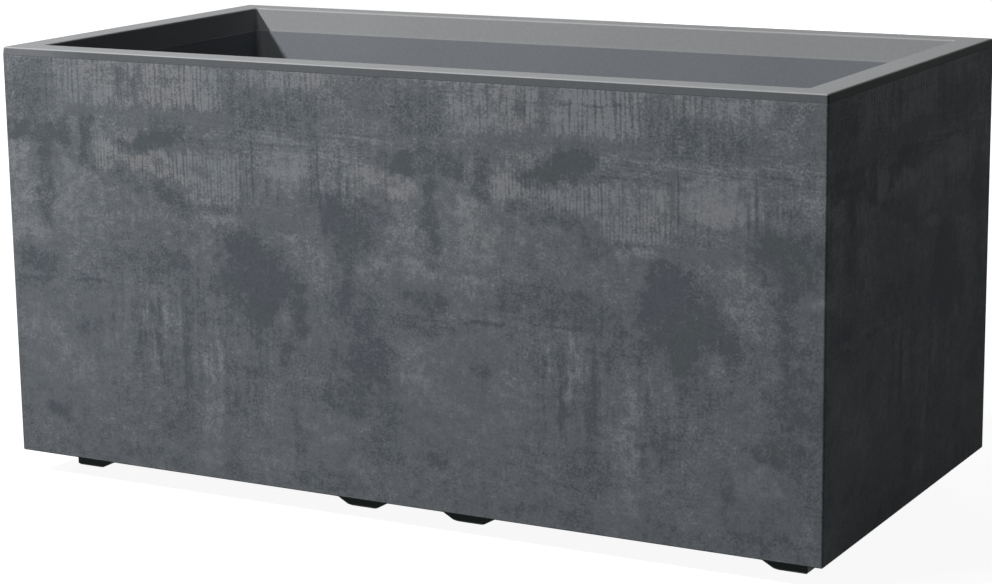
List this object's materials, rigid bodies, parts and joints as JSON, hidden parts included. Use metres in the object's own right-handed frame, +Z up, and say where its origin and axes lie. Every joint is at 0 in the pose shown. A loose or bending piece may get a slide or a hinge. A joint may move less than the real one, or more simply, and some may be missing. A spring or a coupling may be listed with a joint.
{
  "type": "rectangular planter",
  "caption": "Long double-wall plastic planter: concrete-effect outer case, flat rim collar, inner planting box, runner feet underneath and pull-out drain plugs in its floor.",
  "frame": {"origin": "middle of the ground rectangle under the planter, on the plane that its feet stand on", "axes": "+X along the long side, -Y towards the front, +Z up through the open top"},
  "size_m": [0.8, 0.4, 0.4],
  "materials": {
    "shell": "anthracite concrete-effect film, mottled, matt with a slight sheen",
    "rim": "fine-grained grey, satin",
    "liner": "darker grey, fine-grained, matt",
    "foot": "near-black, fine-grained",
    "plug": "black moulded rubber"
  },
  "bodies": {
    "planter": {"outer_shell": "shell", "rim_frame": "rim", "planting_liner": "liner", "foot_front_1": "foot", "foot_front_2": "foot", "foot_front_3": "foot", "foot_front_4": "foot", "foot_rear_1": "foot", "foot_rear_2": "foot", "foot_rear_3": "foot", "foot_rear_4": "foot"},
    "plug_left": {"drain_plug_left": "plug"},
    "plug_right": {"drain_plug_right": "plug"}
  },
  "joints": [
    {"name": "plug_left_lift", "type": "slide", "parent": "planter", "child": "plug_left", "axis": [0, 0, 1], "range_m": [0, 0.36]},
    {"name": "plug_right_lift", "type": "slide", "parent": "planter", "child": "plug_right", "axis": [0, 0, 1], "range_m": [0, 0.36]}
  ]
}
